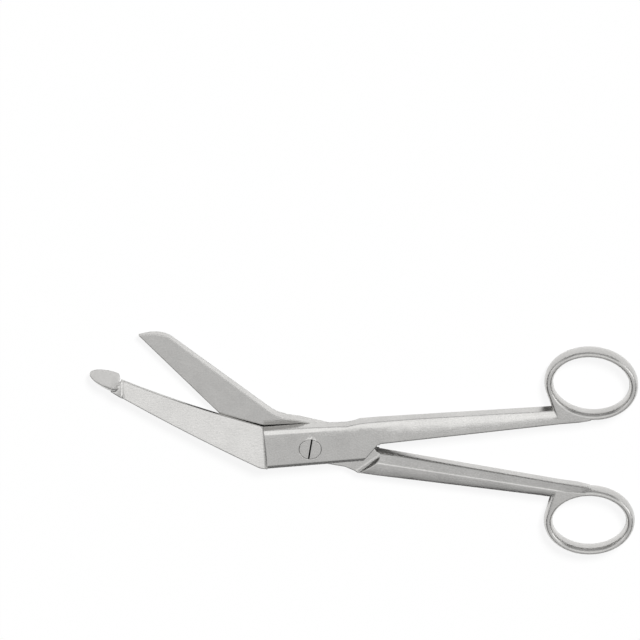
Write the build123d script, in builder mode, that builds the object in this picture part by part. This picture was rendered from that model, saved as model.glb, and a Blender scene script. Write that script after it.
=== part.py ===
from build123d import *

import os
from math import acos, atan2, cos, degrees, hypot, radians, sin, sqrt
from typing import NamedTuple

# Angled bandage shears: two forged arms that cross at a lap joint and turn on one slotted screw.
# The tool lies flat. Its origin is on the screw's axis, at the back of the joint, with +Z up.
# +X halves the angle between the two handles, towards the rings, and both blades lean to +Y.

# Each arm is described in a frame of its own: x along its handle towards the ring, y outwards to
# the ring's side, and z up to its own outer face. The rear arm's frame is the front one turned
# over about the long axis, so one handle serves both.

# Lap joint
box_thickness = 8.4
lap_gap = 0.05
open_angle = 14.8
overrun = 3.0

# Box of each arm, in its own frame
box_left = -16.6
box_inner = -6.9
box_shoulder_x = 19.3
box_slope_x = 25.1
box_slope_y = -0.5
box_end = 26.0
front_box_outer = 9.4
front_box_middle_outer = 9.0
front_box_right_outer = 8.35
rear_box_outer = 6.9
rear_box_middle_outer = 7.25
rear_box_right_outer = 7.6
box_middle_x = 1.6
box_right_x = 14.5
box_wide_chamfer = 1.75
box_low_chamfer = 1.4
box_low_chamfer_drop = 0.4
box_face_fall = 0.15
box_crown_x = -5.0
rear_box_crown = -9.2

# Shank
shank_depth = 6.0
shank_chamfer = 1.3
shank_chamfer_drop = 0.5
shank_outer_box = 9.1
shank_outer_ring = 6.8
shank_inner_box = -0.5
shank_inner_ring = 0.98
shank_ridge = 3.1
shank_bevel_rise = 0.8
shank_bevel_belly = 0.2
shank_inner_fall = 2.2
shank_face_crest = 1.3
shank_face_fall = 0.85
shank_edge_round = 0.9
shank_corner_round = 0.3
shank_ridge_round = 0.8
shank_inner_round = 1.5
shank_crest_share = 0.2
shank_end_share = 0.8
tangent_sagitta_share = 0.25

# Shoulder that the other arm's sloping box edge closes on
shoulder_clearance = 0.45
shoulder_cove_width = 1.75
shoulder_cove_hollow = 0.3

# Finger rings. Both have one section, and each was forged to an oval of its own. An oval leans by
# its dip, and its leg, the straight stretch that runs down to the shank, by its lean.
ring_band = 3.3
ring_depth = 5.8
ring_land = 0.8
ring_leg_foot_y = 3.4
front_ring_center_x = 106.45
front_ring_long_radius = 15.9
front_ring_short_radius = 13.4
front_ring_dip = 16.0
front_ring_leg_lean = 13.0
rear_ring_center_x = 108.15
rear_ring_long_radius = 15.35
rear_ring_short_radius = 12.7
rear_ring_dip = 8.7
rear_ring_leg_lean = 5.0

# Blades
blade_land = 0.9
bend_wall_lean = 10.0
cutter_share = 0.3

# Front blade, which slides under the bandage
front_edge_tip_x = -67.7
front_edge_tip_y = 34.7
front_edge_hollow = 0.95
front_bend_x = -18.7
front_spine_heel_x = -68.1
front_spine_heel_y = 27.9
front_spine_belly = 0.55
front_bend_round = 6.0
front_neck_top = (-71.0, 33.0)
front_neck_bottom = (-71.5, 30.7)
front_ground_lean = 11.3
front_wall_foot_x = -17.6
front_heel_cove = 2.5
front_bend_cove = 1.0
neck_rise = 0.5
neck_cut_share = 0.15
lap_relief_height = 0.6
lap_relief_foot = (-17.1, 7.1)
lap_relief_share = 0.4

# Probe, a blunt boat-shaped foot with a flat deck
probe_heel_x = -67.75
probe_heel_y = 33.2
probe_length = 11.9
probe_rise = 23.3
probe_tilt = 22.0
probe_half_width = 4.0
probe_heel_half_width = 3.3
probe_keel = 5.3
probe_nose_keel = 0.95
probe_widest_share = 0.25
probe_nose_shares = (0.45, 0.65, 0.82, 0.93, 0.985)
probe_heel_chamfer = 0.9

# Rear blade, pointed
rear_edge_root_x = -17.5
rear_nose_rise = 22.0
rear_crown_end_x = -10.8
rear_tip_x = -70.3
rear_tip_y = -35.5
rear_nose_x = -62.8
rear_nose_y = -37.1
rear_spine_x = -57.6
rear_spine_y = -35.6
rear_spine_root_x = -16.5
rear_spine_root_y = -10.75
rear_ground_lean = 11.9

# Screw
screw_head_radius = 4.1
screw_head_height = 1.9
screw_shank_radius = 2.9
screw_thread_radius = 2.4
screw_slot_width = 0.56
screw_slot_depth = 1.1
screw_slot_turn = 83.7
screw_head_chamfer = 0.15
screw_end_chamfer = 0.3
running_clearance = 0.05

# Worked out from the sizes above
lap_height = box_thickness / 2
arm_lap = lap_height + lap_gap / 2
shank_floor = box_thickness - shank_depth
ring_floor = lap_height - ring_depth / 2
ring_roof = lap_height + ring_depth / 2
front_frame = Plane.XY.rotated((0, 0, open_angle / 2))
rear_frame = Plane(
    origin=(0, 0, box_thickness),
    x_dir=(cos(radians(open_angle / 2)), -sin(radians(open_angle / 2)), 0),
    z_dir=(0, 0, -1),
)


def placed(frame: Plane, local: Plane) -> Plane:
    """Returns a plane that is given in an arm's own frame, in the frame of the whole tool."""
    return Plane(frame.location * local.location)


def between(start: float, end: float, share: float) -> float:
    """Returns the value that lies at a share of the way from start to end."""
    return start + (end - start) * share


class Ring(NamedTuple):
    """A finger ring's oval and the leg that leaves it, in the arm's own frame."""

    center: tuple[float, float]
    long_radius: float
    short_radius: float
    dip: float
    leg_top: tuple[float, float]
    leg_out: tuple[float, float]
    leg_length: float
    lowest_x: float


def ring_oval(center_x: float, long_radius: float, short_radius: float, dip: float,
              leg_lean: float) -> Ring:
    """Returns an oval that lies against the shank's inner edge, with its leg.

    The leg leaves the oval where the oval's own direction is the leg's, which the support point of
    an ellipse gives.
    """
    low_x = long_radius * sin(radians(dip))
    low_y = short_radius * cos(radians(dip))
    half_height = hypot(low_x, low_y)
    center_y = shank_inner_ring + ring_band / 2 + half_height
    lowest_x = center_x + (long_radius**2 - short_radius**2) * sin(radians(2 * dip)) / 2 / half_height
    turn = radians(dip + leg_lean)
    support = hypot(long_radius * cos(turn), short_radius * sin(turn))
    own_x = -long_radius**2 * cos(turn) / support
    own_y = -short_radius**2 * sin(turn) / support
    leg_top = (
        center_x + own_x * cos(radians(dip)) + own_y * sin(radians(dip)),
        center_y - own_x * sin(radians(dip)) + own_y * cos(radians(dip)),
    )
    leg_out = (-cos(radians(leg_lean)), -sin(radians(leg_lean)))
    leg_length = (leg_top[1] - ring_leg_foot_y) / cos(radians(leg_lean))
    return Ring((center_x, center_y), long_radius, short_radius, dip, leg_top, leg_out, leg_length,
                lowest_x)


def bar_section(frame: Plane, along: float, inner: float, outer: float, roof: float, floor: float,
                chamfer_width: float, crest: float, fall: float) -> Sketch:
    """Returns the handle's section at one place along the arm.

    Args:
        frame: The arm's own frame.
        along: Where the section stands along the arm.
        inner: Its inner edge.
        outer: Its outer edge.
        roof: Height of its outer face.
        floor: Height of the ridge on its lap face, which falls away to both edges.
        chamfer_width: Width of the chamfer between the outer face and the outer edge.
        crest: Where the outer face starts to fall towards the chamfer.
        fall: How far it falls.
    """
    inner_roof = (inner, roof)
    chamfer_top = (outer - chamfer_width, roof - fall)
    chamfer_foot = (outer, roof - fall - shank_chamfer_drop)
    outer_floor = (outer, floor + shank_bevel_rise)
    ridge = (shank_ridge, floor)
    inner_floor = (inner, floor + shank_inner_fall)
    with BuildSketch(placed(frame, Plane.YZ.offset(along))) as section:
        with BuildLine():
            Line(inner_roof, (crest, roof))
            SagittaArc((crest, roof), chamfer_top, fall * tangent_sagitta_share)
            Polyline(chamfer_top, chamfer_foot, outer_floor)
            SagittaArc(outer_floor, ridge, shank_bevel_belly)
            Polyline(ridge, inner_floor, inner_roof)
        make_face()
        for corner, radius in (
            (inner_roof, shank_edge_round),
            (chamfer_foot, shank_corner_round),
            (outer_floor, shank_edge_round),
            (ridge, shank_ridge_round),
            (inner_floor, shank_inner_round),
        ):
            fillet(section.vertices().sort_by_distance(corner)[0], radius=radius)
    return section.sketch


def ring_section(plane: Plane) -> Sketch:
    """Returns the ring's oval section with a narrow land on top and below, with x outwards."""
    half_turn = degrees(acos(ring_land / ring_band))
    tall_radius = ring_depth / 2 / sin(radians(half_turn))
    with BuildSketch(plane) as section:
        with BuildLine():
            outside = EllipticalCenterArc((0, 0), ring_band / 2, tall_radius, start_angle=-half_turn,
                                          arc_size=2 * half_turn)
            inside = EllipticalCenterArc((0, 0), ring_band / 2, tall_radius,
                                         start_angle=180 - half_turn, arc_size=2 * half_turn)
            Line(outside @ 1, inside @ 0)
            Line(inside @ 1, outside @ 0)
        make_face()
    return section.sketch


def ring_plane(frame: Plane, ring: Ring, height: float) -> Plane:
    """Returns the plane of a ring's oval at one height, with x along its long axis."""
    return placed(frame, Plane(origin=(*ring.center, height)).rotated((0, 0, -ring.dip)))


def handle(frame: Plane, box_outers: tuple[float, float, float], ring: Ring) -> Part:
    """Returns box edge, shank, shoulder and ring of one arm.

    Args:
        frame: The arm's own frame.
        box_outers: Where the box's outer edge lies at its left, in its middle and at its right.
        ring: The arm's finger ring.
    """
    leg_foot = (
        ring.leg_top[0] - ring.leg_length * ring.leg_out[1],
        ring.leg_top[1] + ring.leg_length * ring.leg_out[0],
    )
    crest_x = between(box_end, leg_foot[0], shank_crest_share)
    shank_end = between(leg_foot[0], ring.lowest_x, shank_end_share)

    def along_shank(at_box: float, at_ring: float) -> float:
        return between(at_box, at_ring, shank_crest_share)

    # Shoulder line, in plan: the other arm's sloping edge, mirrored, plus a clearance.
    slope_angle = atan2(box_slope_y - box_inner, box_slope_x - box_shoulder_x)
    to_ring_x = sin(slope_angle)
    to_ring_y = cos(slope_angle)
    foot = (
        box_shoulder_x + shoulder_clearance * to_ring_x,
        -box_inner + shoulder_clearance * to_ring_y,
    )
    shoulder = placed(
        frame,
        Plane(origin=(foot[0], foot[1], 0), x_dir=(to_ring_x, to_ring_y, 0),
              z_dir=(to_ring_y, -to_ring_x, 0)),
    )

    with BuildPart() as body:
        # Bar from the box's left end to the ring, as a chain of sections
        box_left_outer, box_middle_outer, box_right_outer = box_outers
        wide = box_wide_chamfer
        slim = shank_chamfer
        crest = shank_ridge
        inner = shank_inner_box
        low = box_face_fall
        stations = (
            (box_left, inner, box_left_outer, box_thickness, shank_floor, wide, crest, low),
            (box_middle_x, inner, box_middle_outer, box_thickness, shank_floor, wide, crest, low),
            (box_right_x, inner, box_right_outer, box_thickness, shank_floor, slim, crest, low),
            (box_shoulder_x, inner, shank_outer_box, box_thickness, shank_floor, slim, crest, low),
            (
                box_end,
                inner,
                shank_outer_box,
                box_thickness,
                shank_floor,
                slim,
                crest,
                shank_face_fall / 2,
            ),
            (
                crest_x,
                along_shank(shank_inner_box, shank_inner_ring),
                along_shank(shank_outer_box, shank_outer_ring),
                along_shank(box_thickness, ring_roof),
                along_shank(shank_floor, ring_floor),
                slim,
                shank_face_crest,
                shank_face_fall,
            ),
            (
                leg_foot[0],
                shank_inner_ring,
                shank_outer_ring,
                ring_roof,
                ring_floor,
                slim,
                shank_ridge,
                shank_face_fall / 2,
            ),
            (shank_end, shank_inner_ring, shank_outer_ring, ring_roof, ring_floor, slim, crest, low),
        )
        loft([bar_section(frame, *station) for station in stations], ruled=True)

        # Room for the other arm's box, with a hollow-ground wall at the shoulder
        with BuildSketch(shoulder):
            with BuildLine():
                cove_foot = (0, arm_lap)
                cove_top = (shoulder_cove_width, shank_floor)
                SagittaArc(cove_foot, cove_top, shoulder_cove_hollow)
                Polyline(
                    cove_top,
                    (shoulder_cove_width, -overrun),
                    (box_left - box_end, -overrun),
                    (box_left - box_end, arm_lap),
                    cove_foot,
                )
            make_face()
        extrude(amount=box_end - box_left, both=True, mode=Mode.SUBTRACT)

        # Web between leg, shank and ring, out to the middle of the ring's band
        with BuildSketch(frame.offset(ring_floor)):
            with BuildLine():
                Polyline(ring.leg_top, leg_foot, (shank_end, shank_inner_ring + ring_band / 2),
                         ring.center, close=True)
            make_face()
        extrude(amount=ring_depth)
        with BuildSketch(ring_plane(frame, ring, ring_floor)):
            Ellipse(ring.long_radius, ring.short_radius)
        extrude(amount=ring_depth, mode=Mode.SUBTRACT)

        # Ring and leg
        middle = ring_plane(frame, ring, lap_height)
        with BuildLine(middle) as course:
            EllipticalCenterArc((0, 0), ring.long_radius, ring.short_radius, start_angle=0, arc_size=360)
        start = Plane(origin=middle.from_local_coords((ring.long_radius, 0, 0)), x_dir=middle.x_dir,
                      z_dir=-middle.y_dir)
        sweep(ring_section(start), path=course.line)
        leg = Plane(origin=(*ring.leg_top, lap_height), x_dir=(*ring.leg_out, 0),
                    z_dir=(ring.leg_out[1], -ring.leg_out[0], 0))
        extrude(ring_section(placed(frame, leg)), amount=-ring.leg_length)
    return body.part


def box_plate(frame: Plane, left_inner: float) -> Part:
    """Returns the flat plate of a box, from the bend to the edge that slopes to the crotch.

    Args:
        frame: The arm's own frame.
        left_inner: Where the plate's inner edge lies at the box's left.
    """
    with BuildPart() as plate:
        with BuildSketch(frame.offset(arm_lap)):
            with BuildLine():
                Polyline(
                    (box_left, shank_ridge),
                    (box_left, left_inner),
                    (box_crown_x, left_inner),
                    (box_shoulder_x, box_inner),
                    (box_slope_x, box_slope_y),
                    (box_end, shank_inner_box),
                    (box_end, shank_ridge),
                    close=True,
                )
            make_face()
        extrude(amount=box_thickness - arm_lap)
        outer_face = plate.faces().sort_by(Axis(frame.origin, frame.z_dir))[-1]

        def is_inner(edge: Edge) -> bool:
            middle = frame.to_local_coords(edge.center())
            return middle.Y < box_inner + box_low_chamfer and middle.X > box_crown_x

        chamfer(outer_face.edges().filter_by(is_inner), length=box_low_chamfer,
                length2=box_low_chamfer_drop, reference=outer_face)
    return plate.part


def beyond(start: tuple[float, float], end: tuple[float, float], share: float) -> tuple[float, float]:
    """Returns the point at a share of the way from start to end, past either where it is outside."""
    return (between(start[0], end[0], share), between(start[1], end[1], share))


def ground_cutter(frame: Plane, root: tuple[float, float], tip: tuple[float, float],
                  bend: tuple[float, float], far_spine: tuple[float, float], lean: float,
                  rise: float, heel_cove: float, bend_cove: float) -> Part:
    """Returns what grinding takes off a blade's outer face.

    Args:
        frame: The arm's own frame.
        root: The cutting edge's end at the box.
        tip: The cutting edge's other end.
        bend: The spine's end at the box.
        far_spine: The spine's end beside the tip.
        lean: How much the ground face rises from the cutting edge to the spine, in degrees.
        rise: How far the ground face lies over the blade's land.
        heel_cove: Radius of the hollow at the ground face's far end, or zero.
        bend_cove: Radius of the hollow under the box, or zero.
    """
    edge = Vector(tip[0] - root[0], tip[1] - root[1]).normalized()
    ground = placed(
        frame,
        Plane(
            origin=(root[0], root[1], arm_lap + blade_land + rise),
            x_dir=edge,
            z_dir=(edge.Y * sin(radians(lean)), -edge.X * sin(radians(lean)), cos(radians(lean))),
        ),
    )
    with BuildPart() as cutter:
        with BuildSketch(frame.offset(arm_lap)):
            with BuildLine():
                Polyline(
                    beyond(root, bend, -cutter_share),
                    beyond(root, bend, 1 + cutter_share),
                    beyond(tip, far_spine, 1 + cutter_share),
                    beyond(tip, far_spine, -cutter_share),
                    close=True,
                )
            make_face()
        extrude(amount=box_thickness - arm_lap + overrun, taper=-bend_wall_lean)
        split(bisect_by=ground, keep=Keep.TOP)
        far_end = placed(frame, Plane(origin=(*beyond(tip, far_spine, cutter_share), arm_lap)))
        for order, cove in ((0, heel_cove), (-1, bend_cove)):
            if cove:
                ground_edges = cutter.faces().filter_by(ground).edges()
                fillet(ground_edges.sort_by_distance(far_end.origin)[order], radius=cove)
    return cutter.part


# Front arm: the lower blade, with the probe, and the upper ring
front_root = (box_left, front_box_outer)
front_tip = (front_edge_tip_x, front_edge_tip_y)
front_bend = (front_bend_x, box_inner)
front_heel = (front_spine_heel_x, front_spine_heel_y)
probe_axis = (-cos(radians(probe_rise)), sin(radians(probe_rise)))
probe_up = (sin(radians(probe_rise)), cos(radians(probe_rise)))
probe_across = Vector(
    -probe_up[0] * sin(radians(probe_tilt)),
    -probe_up[1] * sin(radians(probe_tilt)),
    cos(radians(probe_tilt)),
)
probe_frame = placed(
    front_frame,
    Plane(origin=(probe_heel_x, probe_heel_y, lap_height), x_dir=probe_across,
          z_dir=(probe_axis[0], probe_axis[1], 0)),
)


def hull_section(share: float) -> Sketch:
    """Returns the probe's section, flat on top, at a share of its length from the heel."""
    keel = between(probe_keel, probe_nose_keel, share)
    if share < probe_widest_share:
        width = between(probe_heel_half_width, probe_half_width, share / probe_widest_share)
    else:
        run = (share - probe_widest_share) / (1 - probe_widest_share)
        width = probe_half_width * sqrt(1 - run**2)
        keel *= sqrt(1 - run**4)
    with BuildSketch(probe_frame.offset(share * probe_length)) as section:
        with BuildLine():
            EllipticalCenterArc((0, 0), width, keel, start_angle=180, arc_size=180)
            Line((width, 0), (-width, 0))
        make_face()
    return section.sketch


front_ring = ring_oval(front_ring_center_x, front_ring_long_radius, front_ring_short_radius,
                       front_ring_dip, front_ring_leg_lean)
front_handle = handle(front_frame, (front_box_outer, front_box_middle_outer, front_box_right_outer),
                      front_ring)
front_plate = box_plate(front_frame, box_inner)
front_wall_foot = (front_wall_foot_x, box_inner)
front_grinding = ground_cutter(front_frame, front_root, front_tip, front_wall_foot, front_heel,
                               front_ground_lean, 0, front_heel_cove, front_bend_cove)
neck_grinding = ground_cutter(front_frame, front_root, beyond(front_root, front_tip, 1 + neck_cut_share),
                              front_wall_foot, beyond(front_bend, front_heel, 1 + neck_cut_share),
                              front_ground_lean, neck_rise, 0, 0)
with BuildPart() as probe:
    loft([hull_section(share) for share in (0, probe_widest_share, *probe_nose_shares)])
    probe_heel = probe.faces().sort_by(Axis(probe_frame.origin, probe_frame.z_dir))[0]
    chamfer(probe_heel.edges().filter_by(GeomType.LINE, reverse=True), length=probe_heel_chamfer)
with BuildPart() as front_arm:
    with BuildSketch(front_frame.offset(arm_lap)) as front_blade:
        with BuildLine():
            SagittaArc(front_root, front_tip, front_edge_hollow)
            Line(front_tip, front_neck_top)
            Line(front_neck_top, front_neck_bottom)
            Line(front_neck_bottom, front_heel)
            SagittaArc(front_heel, front_bend, -front_spine_belly)
            Polyline(front_bend, (box_left, box_inner), front_root)
        make_face()
        fillet(front_blade.vertices().sort_by_distance(front_bend)[0], radius=front_bend_round)
    extrude(amount=box_thickness - arm_lap)
    add(front_grinding, mode=Mode.SUBTRACT)
    add(neck_grinding, mode=Mode.SUBTRACT)
    add(front_handle)
    add(front_plate)
    add(probe)
    with BuildSketch(probe_frame):
        Rectangle(2 * (probe_half_width + overrun), probe_keel, align=(Align.CENTER, Align.MIN))
    extrude(amount=probe_length + overrun, mode=Mode.SUBTRACT)
    with Locations(placed(front_frame, Plane.XY.offset(box_thickness))):
        CounterBoreHole(
            radius=screw_shank_radius + running_clearance,
            counter_bore_radius=screw_head_radius + running_clearance,
            counter_bore_depth=screw_head_height + running_clearance,
        )
    # Relief on the lap side that keeps the root of the cutting edge off the rear arm
    relief_out = beyond(lap_relief_foot, front_root, 2)
    relief_end = beyond(front_root, front_tip, lap_relief_share)
    with BuildSketch(front_frame.offset(arm_lap)) as relief:
        with BuildLine():
            Polyline((box_middle_x, front_box_middle_outer), lap_relief_foot, relief_end, relief_out,
                     close=True)
        make_face()
    relief_peak = front_frame.from_local_coords((*relief_out, arm_lap + 2 * lap_relief_height))
    loft([relief.sketch, Vertex(relief_peak)], mode=Mode.SUBTRACT)

# Rear arm: the upper, pointed blade and the lower ring
rear_root = (rear_edge_root_x, rear_box_outer)
rear_tip = (rear_tip_x, rear_tip_y)
rear_bend = (rear_spine_root_x, rear_spine_root_y)
rear_ring = ring_oval(rear_ring_center_x, rear_ring_long_radius, rear_ring_short_radius, rear_ring_dip,
                      rear_ring_leg_lean)
rear_handle = handle(rear_frame, (rear_box_outer, rear_box_middle_outer, rear_box_right_outer),
                     rear_ring)
rear_plate = box_plate(rear_frame, rear_box_crown)
rear_grinding = ground_cutter(rear_frame, rear_root, (rear_tip_x - overrun, rear_tip_y), rear_bend,
                              (rear_tip_x - overrun, rear_tip_y + rear_spine_root_y - rear_box_outer),
                              rear_ground_lean, 0, 0, 0)
with BuildPart() as rear_arm:
    with BuildSketch(rear_frame.offset(arm_lap)) as rear_blade:
        with BuildLine():
            Polyline((box_left, rear_box_outer), rear_root, rear_tip)
            spine = Line((rear_spine_x, rear_spine_y), rear_bend)
            Spline(rear_tip, (rear_nose_x, rear_nose_y), (rear_spine_x, rear_spine_y),
                   tangents=[(cos(radians(rear_nose_rise)), -sin(radians(rear_nose_rise))), spine % 0])
            crown = TangentArc(rear_bend, (rear_crown_end_x, rear_box_crown), tangent=spine % 1)
            Polyline(crown @ 1, (rear_crown_end_x, box_inner), (box_left, box_inner),
                     (box_left, rear_box_outer))
        make_face()
    extrude(amount=box_thickness - arm_lap)
    add(rear_grinding, mode=Mode.SUBTRACT)
    add(rear_handle)
    add(rear_plate)
    with Locations(placed(rear_frame, Plane.XY.offset(box_thickness))):
        Hole(radius=screw_thread_radius)

# Screw: slotted head flush with the front arm, shoulder on the rear arm's lap face
with BuildPart() as pivot_screw:
    with BuildSketch(Plane.XZ) as screw_half:
        with BuildLine():
            Polyline(
                (0, 0),
                (screw_thread_radius - screw_end_chamfer, 0),
                (screw_thread_radius, screw_end_chamfer),
                (screw_thread_radius, lap_height - lap_gap / 2),
                (screw_shank_radius, lap_height - lap_gap / 2),
                (screw_shank_radius, box_thickness - screw_head_height),
                (screw_head_radius, box_thickness - screw_head_height),
                (screw_head_radius, box_thickness - screw_head_chamfer),
                (screw_head_radius - screw_head_chamfer, box_thickness),
                (0, box_thickness),
                close=True,
            )
        make_face()
    revolve(axis=Axis.Z)
    with BuildSketch(Plane.XY.offset(box_thickness).rotated((0, 0, screw_slot_turn))):
        Rectangle(2 * screw_head_radius + overrun, screw_slot_width)
    extrude(amount=-screw_slot_depth, mode=Mode.SUBTRACT)

os.makedirs("parts", exist_ok=True)
front_arm.part.label = "front_arm"
export_step(front_arm.part, "parts/front_arm.step")
rear_arm.part.label = "rear_arm"
export_step(rear_arm.part, "parts/rear_arm.step")
pivot_screw.part.label = "pivot_screw"
export_step(pivot_screw.part, "parts/pivot_screw.step")
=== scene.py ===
"""Angled bandage scissors in satin stainless steel, lying flat and partly open on a white table."""

import logging
import math
from dataclasses import dataclass

import bpy
from mathutils import Matrix, Vector
from mathutils.bvhtree import BVHTree


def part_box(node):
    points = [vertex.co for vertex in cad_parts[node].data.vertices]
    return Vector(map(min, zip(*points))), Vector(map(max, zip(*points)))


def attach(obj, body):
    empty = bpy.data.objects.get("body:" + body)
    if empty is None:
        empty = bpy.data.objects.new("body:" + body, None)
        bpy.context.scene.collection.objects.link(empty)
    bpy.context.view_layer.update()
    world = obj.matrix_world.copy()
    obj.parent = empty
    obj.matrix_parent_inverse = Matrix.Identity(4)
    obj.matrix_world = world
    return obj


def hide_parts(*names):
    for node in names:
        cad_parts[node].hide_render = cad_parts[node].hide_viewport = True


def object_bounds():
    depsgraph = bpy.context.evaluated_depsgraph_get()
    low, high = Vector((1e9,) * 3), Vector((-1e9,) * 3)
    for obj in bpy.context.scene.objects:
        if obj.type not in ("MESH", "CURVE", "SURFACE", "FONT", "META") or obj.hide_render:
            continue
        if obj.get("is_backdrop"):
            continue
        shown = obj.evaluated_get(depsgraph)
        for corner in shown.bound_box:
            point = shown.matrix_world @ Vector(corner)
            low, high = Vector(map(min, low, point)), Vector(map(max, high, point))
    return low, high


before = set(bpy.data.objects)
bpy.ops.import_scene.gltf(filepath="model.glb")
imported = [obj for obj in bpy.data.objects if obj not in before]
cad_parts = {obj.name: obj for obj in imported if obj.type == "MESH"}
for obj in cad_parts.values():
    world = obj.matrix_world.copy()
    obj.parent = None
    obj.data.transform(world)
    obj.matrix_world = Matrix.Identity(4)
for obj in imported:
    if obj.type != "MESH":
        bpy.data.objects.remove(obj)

log = logging.getLogger("bandage_scissors")

MM = 0.001
IMAGE_SIDE_PX = 640

Steps = tuple[tuple[float, float], ...]


def srgb_to_linear(hex_colour: str) -> tuple[float, float, float, float]:
    """Turns an sRGB hex colour into the linear colour that a shader socket takes.

    Args:
        hex_colour: Six hex digits, with or without a leading hash.

    Returns:
        Red, green, blue and an alpha of 1.
    """
    digits = hex_colour.lstrip("#")
    channels = []
    for start in (0, 2, 4):
        value = int(digits[start:start + 2], 16) / 255
        channels.append(value / 12.92 if value <= 0.04045 else ((value + 0.055) / 1.055) ** 2.4)
    return (channels[0], channels[1], channels[2], 1.0)


def add_node(tree: bpy.types.NodeTree, kind: str, settings: dict | None = None,
             inputs: dict | None = None, links: dict | None = None) -> bpy.types.Node:
    """Adds one shader node with its settings, constants and incoming links.

    Args:
        tree: The node tree that gets the node.
        kind: The node's type name.
        settings: Attribute names and their values.
        inputs: Input names or numbers and their constants.
        links: Input names or numbers and the output socket that feeds each.

    Returns:
        The new node.
    """
    node = tree.nodes.new(kind)
    for name, value in (settings or {}).items():
        setattr(node, name, value)
    for name, value in (inputs or {}).items():
        node.inputs[name].default_value = value
    for name, socket in (links or {}).items():
        tree.links.new(socket, node.inputs[name])
    return node


@dataclass(frozen=True)
class SatinSteel:
    """Stainless steel, ground to shape and then blasted with fine beads to a satin face.

    The beads leave a fine grain that spreads each highlight, and the grinding under it leaves faint
    lines along the belt's run. Handling leaves soft, wide clouds, and rubs each edge round.
    """

    name: str
    colour: str = "#CDCCCA"
    roughness: float = 0.2
    roughness_spread: float = 0.06

    # The real grain and lines are near 0.1 mm, too fine for the picture, so they are drawn coarser
    grain_mm: float = 0.5
    grain_depth_mm: float = 0.05
    line_mm: float = 0.3
    line_stretch: float = 8.0
    line_share: float = 0.3
    line_turn_deg: float = 0.0

    cloud_mm: float = 9.0
    grain_over_cloud_share: float = 0.75
    darkest_tint_share: float = 0.56
    lightest_tint_share: float = 1.34
    noise_low: float = 0.3
    noise_high: float = 0.7
    worn_edge_mm: float = 0.6

    def _tinted(self, share: float) -> tuple[float, float, float, float]:
        """Returns the linear colour with its red, green and blue scaled.

        Args:
            share: The factor of the three channels.
        """
        red, green, blue, alpha = srgb_to_linear(self.colour)
        return (red * share, green * share, blue * share, alpha)

    def material(self) -> bpy.types.Material:
        """Builds the node material and returns it."""
        steel = bpy.data.materials.new(self.name)
        steel.use_nodes = True
        tree = steel.node_tree
        tree.nodes.clear()
        place = add_node(tree, "ShaderNodeTexCoord").outputs["Object"]

        grain = add_node(
            tree, "ShaderNodeTexNoise",
            inputs={"Scale": 1 / (self.grain_mm * MM), "Detail": 3.0, "Roughness": 0.6},
            links={"Vector": place},
        )
        along = add_node(
            tree, "ShaderNodeMapping",
            inputs={
                "Rotation": (0.0, 0.0, math.radians(-self.line_turn_deg)),
                "Scale": (1 / self.line_stretch, 1.0, 1.0),
            },
            links={"Vector": place},
        )
        lines = add_node(
            tree, "ShaderNodeTexNoise",
            inputs={"Scale": 1 / (self.line_mm * MM), "Detail": 2.0, "Roughness": 0.5},
            links={"Vector": along.outputs["Vector"]},
        )
        clouds = add_node(
            tree, "ShaderNodeTexNoise",
            inputs={"Scale": 1 / (self.cloud_mm * MM), "Detail": 2.0, "Roughness": 0.5},
            links={"Vector": place},
        )
        both = add_node(
            tree, "ShaderNodeMix", settings={"data_type": "FLOAT"},
            inputs={"Factor": self.line_share},
            links={"A": grain.outputs["Fac"], "B": lines.outputs["Fac"]},
        )
        gloss = add_node(
            tree, "ShaderNodeMapRange",
            inputs={
                "From Min": self.noise_low, "From Max": self.noise_high,
                "To Min": self.roughness - self.roughness_spread,
                "To Max": self.roughness + self.roughness_spread,
            },
            links={"Value": both.outputs["Result"]},
        )
        mottle = add_node(
            tree, "ShaderNodeMix", settings={"data_type": "FLOAT"},
            inputs={"Factor": self.grain_over_cloud_share},
            links={"A": clouds.outputs["Fac"], "B": both.outputs["Result"]},
        )
        tint = add_node(
            tree, "ShaderNodeMix", settings={"data_type": "RGBA"},
            inputs={
                "A": self._tinted(self.darkest_tint_share),
                "B": self._tinted(self.lightest_tint_share),
            },
            links={"Factor": mottle.outputs["Result"]},
        )
        worn = add_node(tree, "ShaderNodeBevel", settings={"samples": 6},
                        inputs={"Radius": self.worn_edge_mm * MM})
        relief = add_node(
            tree, "ShaderNodeBump",
            inputs={"Strength": 1.0, "Distance": self.grain_depth_mm * MM},
            links={"Height": both.outputs["Result"], "Normal": worn.outputs["Normal"]},
        )
        shader = add_node(
            tree, "ShaderNodeBsdfPrincipled",
            inputs={"Metallic": 1.0},
            links={
                "Base Color": tint.outputs["Result"],
                "Roughness": gloss.outputs["Result"],
                "Normal": relief.outputs["Normal"],
            },
        )
        add_node(tree, "ShaderNodeOutputMaterial", links={"Surface": shader.outputs["BSDF"]})
        return steel


# Painted shade: a near-black finish standing in for the shadow in the gap between the arms and in
# the screw's slot
PAINTED_SHADE = SatinSteel("painted_shade_finish", colour="#0E0E0E", roughness=0.8, roughness_spread=0.05)


@dataclass(frozen=True)
class Band:
    """A region around the screw's axis, between two heights over the table."""

    low_mm: float
    high_mm: float
    reach_mm: float

    def holds(self, place: Vector) -> bool:
        """Tells whether a place lies in the band.

        Args:
            place: A place in the frame, in metres.

        Returns:
            True if its height and its distance from the axis lie in the band.
        """
        return (self.low_mm * MM < place.z < self.high_mm * MM
                and math.hypot(place.x, place.y) < self.reach_mm * MM)


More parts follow.
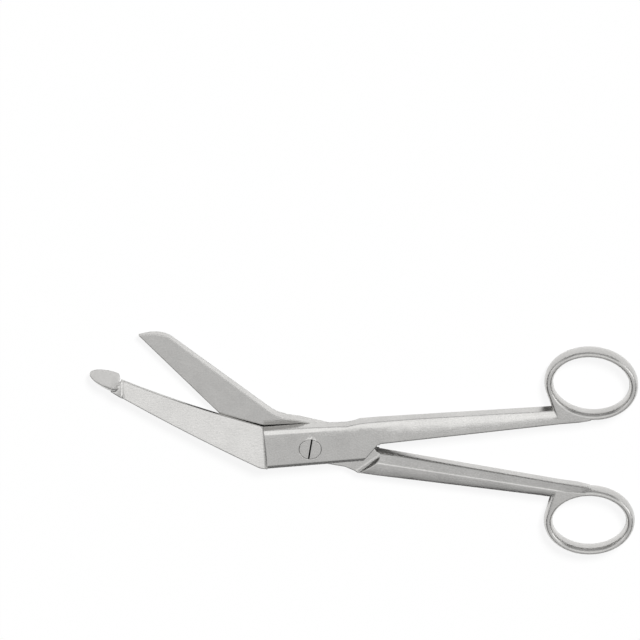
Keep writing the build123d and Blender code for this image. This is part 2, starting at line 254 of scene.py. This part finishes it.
@dataclass
class SteelPiece:
    """One steel piece of the scissors, dressed over its solid.

    The recess is the band of faces that get the near-black finish as painted shade, for the shadow
    in the gap between the arms and in the screw's slot, and the rim is the band of a hole's edge,
    whose long, thin faces would smear the light if they were smoothed.
    """

    node: str
    body: str
    slot: str
    finish: SatinSteel
    recess: Band | None = None
    recess_faces_down: bool = False
    rim: Band | None = None
    handle_turn_deg: float | None = None

    merge_mm: float = 0.0005
    flat_deg: float = 0.2
    smooth_deg: float = 13.0
    crease_deg: float = 7.0
    crease_length_mm: float = 5.0
    crease_width_mm: float = 0.8
    facing_down: float = -0.9

    # The shank's square end, seen along the shank, and how it slides back
    squared_to_shank: float = 0.9999
    past_end_mm: float = 0.02
    run_out_slope: float = 7.0

    def run_out_shank(self, piece: bpy.types.Object) -> None:
        """Lets the shank's square end run out into the ring, as the grinder leaves it.

        Each corner of the end face slides back along the shank in proportion to its height over the
        ring's surface.

        Args:
            piece: The dressed copy of the arm.
        """
        turn = math.radians(self.handle_turn_deg)
        along = Vector((math.cos(turn), math.sin(turn), 0.0))
        mesh = piece.data
        squared = [face for face in mesh.polygons if face.normal.dot(along) > self.squared_to_shank]
        end = max(squared, key=lambda face: face.area)
        end_along = end.center.dot(along)
        beyond = [tuple(face.vertices) for face in mesh.polygons
                  if face.center.dot(along) > end_along + self.past_end_mm * MM]
        ring = BVHTree.FromPolygons([corner.co.copy() for corner in mesh.vertices], beyond)
        for index in end.vertices:
            corner = mesh.vertices[index]
            height = ring.find_nearest(corner.co)[3]
            corner.co -= along * height * self.run_out_slope

    def mark_ground_edges(self, piece: bpy.types.Object) -> None:
        """Keeps the long, shallow edges sharp where two ground faces meet.

        Args:
            piece: The dressed copy.
        """
        mesh = piece.data
        sides: dict[tuple[int, int], list[bpy.types.MeshPolygon]] = {}
        for face in mesh.polygons:
            for key in face.edge_keys:
                sides.setdefault(key, []).append(face)
        for edge in mesh.edges:
            start, end = (mesh.vertices[index].co for index in edge.vertices)
            length = (end - start).length
            faces = sides.get(edge.key, [])
            if len(faces) != 2 or length < self.crease_length_mm * MM:
                continue
            narrower = min(face.area for face in faces) / length
            bend = faces[0].normal.angle(faces[1].normal)
            if narrower > self.crease_width_mm * MM and bend > math.radians(self.crease_deg):
                edge.use_edge_sharp = True

    def flatten_rim(self, piece: bpy.types.Object) -> None:
        """Gives the faces that fan out from the hole's rim their own flat normals.

        Args:
            piece: The dressed copy.
        """
        mesh = piece.data
        around = {corner.index for corner in mesh.vertices if self.rim.holds(corner.co)}
        for face in mesh.polygons:
            if around.intersection(face.vertices):
                face.use_smooth = False

    def paint_recess_shade(self, piece: bpy.types.Object) -> None:
        """Paints shade onto the faces in the recess, with the near-black finish.

        Args:
            piece: The dressed copy, which has its own finish already.
        """
        piece.data.materials.append(PAINTED_SHADE.material())
        for face in piece.data.polygons:
            turned = face.normal.z < self.facing_down or not self.recess_faces_down
            face.material_index = int(turned and self.recess.holds(face.center))

    def build(self) -> bpy.types.Object:
        """Copies the node's mesh, merges and smooths the copy, and returns it with its finish."""
        bpy.ops.object.select_all(action="DESELECT")
        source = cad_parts[self.node]
        source.select_set(True)
        bpy.context.view_layer.objects.active = source
        bpy.ops.object.duplicate()
        piece = bpy.context.view_layer.objects.active
        piece.name = f"{self.node}_dressed"
        bpy.ops.object.mode_set(mode="EDIT")
        bpy.ops.mesh.select_all(action="SELECT")
        bpy.ops.mesh.remove_doubles(threshold=self.merge_mm * MM)
        bpy.ops.mesh.dissolve_limited(angle_limit=math.radians(self.flat_deg))
        bpy.ops.object.mode_set(mode="OBJECT")
        if self.handle_turn_deg is not None:
            self.run_out_shank(piece)
        bpy.ops.object.shade_smooth_by_angle(angle=math.radians(self.smooth_deg))
        self.mark_ground_edges(piece)
        if self.rim is not None:
            self.flatten_rim(piece)
        bpy.ops.object.modifier_add(type="WEIGHTED_NORMAL")
        weighting = piece.modifiers[-1]
        weighting.keep_sharp = True
        bpy.ops.object.modifier_apply(modifier=weighting.name)
        piece.data.materials.clear()
        piece.data.materials.append(self.finish.material())
        if self.recess is not None:
            self.paint_recess_shade(piece)
        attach(piece, self.body)
        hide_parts(self.node)
        return piece


@dataclass(frozen=True)
class WindowLight:
    """A broad window on the camera's side, which whitens the table and throws the tool's shadow.

    The dome stands for what the steel mirrors, so the window itself isn't mirrored.
    """

    name: str
    toward: tuple[float, float, float]
    strength: float
    spread_deg: float

    def place(self) -> bpy.types.Object:
        """Adds the light and returns it."""
        data = bpy.data.lights.new(self.name, "SUN")
        data.energy = self.strength
        data.angle = math.radians(self.spread_deg)
        window = bpy.data.objects.new(self.name, data)
        bpy.context.scene.collection.objects.link(window)
        window.rotation_mode = "QUATERNION"
        window.rotation_quaternion = Vector(self.toward).to_track_quat("Z", "Y")
        window.visible_glossy = False
        return window


@dataclass
class Studio:
    """Table, dome, window and camera."""

    table_side_m: float = 40.0
    table_colour: str = "#F7F7F7"
    shadow_share: float = 0.1
    dome_on_table: float = 0.1

    # The dome's level by degrees around +X, from the table at -Y over the top to the table at +Y
    arch_steps: Steps = (
        (-92.0, 0.02), (-68.0, 0.06), (-52.0, 0.66), (-30.0, 0.99), (-17.0, 0.98), (-7.0, 1.75),
        (16.0, 1.7), (26.0, 0.98), (62.0, 0.9), (70.0, 0.4), (78.0, 0.4), (86.0, 1.0), (92.0, 0.85),
    )
    # The factor on that level by the direction's share along +X
    side_steps: Steps = (
        (-1.0, 0.3), (-0.84, 1.2), (-0.6, 0.6), (-0.3, 0.92), (0.0, 1.0), (0.4, 0.95), (0.62, 0.6),
        (0.86, 1.8), (1.0, 0.7),
    )
    window: WindowLight = WindowLight("window", (0.3, 1.0, 1.0), 4.4, 15.0)

    # The photograph's view, over the side that the blades lean to
    camera_tilt_deg: float = 30.0
    tool_turn_deg: float = -2.0
    camera_distance_m: float = 6.0
    mm_per_px: float = 0.372
    screw_px: tuple[float, float] = (310.2, 449.7)
    sensor_mm: float = 36.0

    def table(self) -> bpy.types.Object:
        """Adds the white table top just under the tool and returns it."""
        bpy.ops.object.select_all(action="DESELECT")
        low, _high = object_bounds()
        bpy.ops.mesh.primitive_plane_add(size=self.table_side_m, location=(0.0, 0.0, low.z))
        top = bpy.context.view_layer.objects.active
        top.name = "table_top"
        bpy.ops.object.transform_apply(location=True, rotation=True, scale=True)
        paper = bpy.data.materials.new("white_paper")
        paper.use_nodes = True
        tree = paper.node_tree
        tree.nodes.clear()
        matt = add_node(tree, "ShaderNodeBsdfDiffuse",
                        inputs={"Color": srgb_to_linear(self.table_colour)})
        plain = add_node(tree, "ShaderNodeEmission", inputs={"Strength": 1.0})
        path = add_node(tree, "ShaderNodeLightPath")
        share = add_node(tree, "ShaderNodeMath", settings={"operation": "MULTIPLY"},
                         inputs={1: 1 - self.shadow_share}, links={0: path.outputs["Is Camera Ray"]})
        mixed = add_node(tree, "ShaderNodeMixShader",
                         links={0: share.outputs["Value"], 1: matt.outputs["BSDF"],
                                2: plain.outputs["Emission"]})
        add_node(tree, "ShaderNodeOutputMaterial", links={"Surface": mixed.outputs["Shader"]})
        top.data.materials.append(paper)
        top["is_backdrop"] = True
        return top

    @staticmethod
    def _steps(tree: bpy.types.NodeTree, value: bpy.types.NodeSocket,
               steps: Steps) -> bpy.types.NodeSocket:
        """Returns a socket that follows a list of places and levels along a value.

        Args:
            tree: The world's node tree.
            value: The socket that is read off.
            steps: Places in rising order, each with its level of light.
        """
        first, last = steps[0][0], steps[-1][0]
        brightest = max(level for _place, level in steps)
        share = add_node(tree, "ShaderNodeMapRange", inputs={"From Min": first, "From Max": last},
                         links={"Value": value})
        ramp = add_node(tree, "ShaderNodeValToRGB", links={"Fac": share.outputs["Result"]})
        ramp.color_ramp.interpolation = "EASE"
        stops = ramp.color_ramp.elements
        while len(stops) < len(steps):
            stops.new(1.0)
        for stop, (place, level) in zip(stops, steps):
            stop.position = (place - first) / (last - first)
            stop.color = (level / brightest, level / brightest, level / brightest, 1.0)
        glow = add_node(tree, "ShaderNodeMath", settings={"operation": "MULTIPLY"},
                        inputs={1: brightest}, links={0: ramp.outputs["Color"]})
        return glow.outputs["Value"]

    def dome(self) -> bpy.types.World:
        """Builds the studio's dome, an arch of lighter and darker panels over the tool."""
        world = bpy.data.worlds.new("studio_dome")
        bpy.context.scene.world = world
        world.use_nodes = True
        tree = world.node_tree
        tree.nodes.clear()
        toward = add_node(tree, "ShaderNodeTexCoord").outputs["Generated"]
        way = add_node(tree, "ShaderNodeSeparateXYZ", links={"Vector": toward})
        angle = add_node(tree, "ShaderNodeMath", settings={"operation": "ARCTAN2"},
                         links={0: way.outputs["Y"], 1: way.outputs["Z"]})
        degrees = add_node(tree, "ShaderNodeMath", settings={"operation": "DEGREES"},
                           links={0: angle.outputs["Value"]})
        arch = self._steps(tree, degrees.outputs["Value"], self.arch_steps)
        side = self._steps(tree, way.outputs["X"], self.side_steps)
        glow = add_node(tree, "ShaderNodeMath", settings={"operation": "MULTIPLY"},
                        links={0: arch, 1: side})
        path = add_node(tree, "ShaderNodeLightPath")
        mirrored = add_node(tree, "ShaderNodeMix", settings={"data_type": "FLOAT"},
                            inputs={"B": self.dome_on_table},
                            links={"Factor": path.outputs["Is Diffuse Ray"],
                                   "A": glow.outputs["Value"]})
        level = add_node(tree, "ShaderNodeMix", settings={"data_type": "FLOAT"}, inputs={"B": 1.0},
                         links={"Factor": path.outputs["Is Camera Ray"],
                                "A": mirrored.outputs["Result"]})
        light = add_node(tree, "ShaderNodeBackground", links={"Strength": level.outputs["Result"]})
        add_node(tree, "ShaderNodeOutputWorld", links={"Surface": light.outputs["Background"]})
        return world

    def camera(self) -> bpy.types.Object:
        """Adds the camera at the photograph's angle and scale and returns it."""
        turn = math.radians(self.tool_turn_deg)
        tilt = math.radians(self.camera_tilt_deg)
        right = Vector((math.cos(turn), -math.sin(turn), 0.0))
        across = Vector((math.sin(turn), math.cos(turn), 0.0))
        up = across * math.cos(tilt) - Vector((0.0, 0.0, math.sin(tilt)))
        back = across * math.sin(tilt) + Vector((0.0, 0.0, math.cos(tilt)))
        middle = IMAGE_SIDE_PX / 2
        screw_top = Vector((0.0, 0.0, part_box("pivot_screw")[1].z))
        centre = (screw_top + right * ((middle - self.screw_px[0]) * self.mm_per_px * MM)
                  + up * ((self.screw_px[1] - middle) * self.mm_per_px * MM))
        data = bpy.data.cameras.new("photo_camera")
        data.sensor_width = self.sensor_mm
        data.lens = self.sensor_mm * self.camera_distance_m / (IMAGE_SIDE_PX * self.mm_per_px * MM)
        data.clip_end = 3 * self.camera_distance_m
        eye = bpy.data.objects.new("photo_camera", data)
        bpy.context.scene.collection.objects.link(eye)
        turned = Matrix((right, up, back)).transposed().to_4x4()
        eye.matrix_world = Matrix.Translation(centre + back * self.camera_distance_m) @ turned
        bpy.context.scene.camera = eye
        return eye

    def build(self) -> None:
        """Sets up the whole studio."""
        self.table()
        self.dome()
        self.window.place()
        self.camera()
        bpy.context.scene.view_settings.view_transform = "Standard"


def main() -> None:
    """Builds the scissors and the studio in order."""
    logging.basicConfig(level=logging.INFO, format="%(name)s: %(message)s")
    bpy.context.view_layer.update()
    handle_turn_deg = 7.4
    pieces = (
        SteelPiece(
            "rear_arm", "rear", "satin_steel",
            SatinSteel("satin_steel_rear", line_turn_deg=-handle_turn_deg),
            handle_turn_deg=-handle_turn_deg,
        ),
        SteelPiece(
            "front_arm", "front", "satin_steel",
            SatinSteel("satin_steel_front", line_turn_deg=handle_turn_deg),
            # Painted shade on the lap relief's downward faces, for the dark gap line between the
            # arms
            recess=Band(low_mm=4.3, high_mm=4.9, reach_mm=40.0), recess_faces_down=True,
            rim=Band(low_mm=8.2, high_mm=8.6, reach_mm=4.3),
            handle_turn_deg=handle_turn_deg,
        ),
        SteelPiece(
            "pivot_screw", "rear", "screw_steel",
            SatinSteel("satin_steel_screw", colour="#CFCECC", roughness=0.26, worn_edge_mm=0.15),
            # Painted shade on the faces of the screw's slot
            recess=Band(low_mm=7.2, high_mm=8.3, reach_mm=1.0),
        ),
    )
    for piece in pieces:
        built = piece.build()
        log.info("piece %s with %d faces", built.name, len(built.data.polygons))
    Studio().build()


if __name__ == "__main__":
    main()
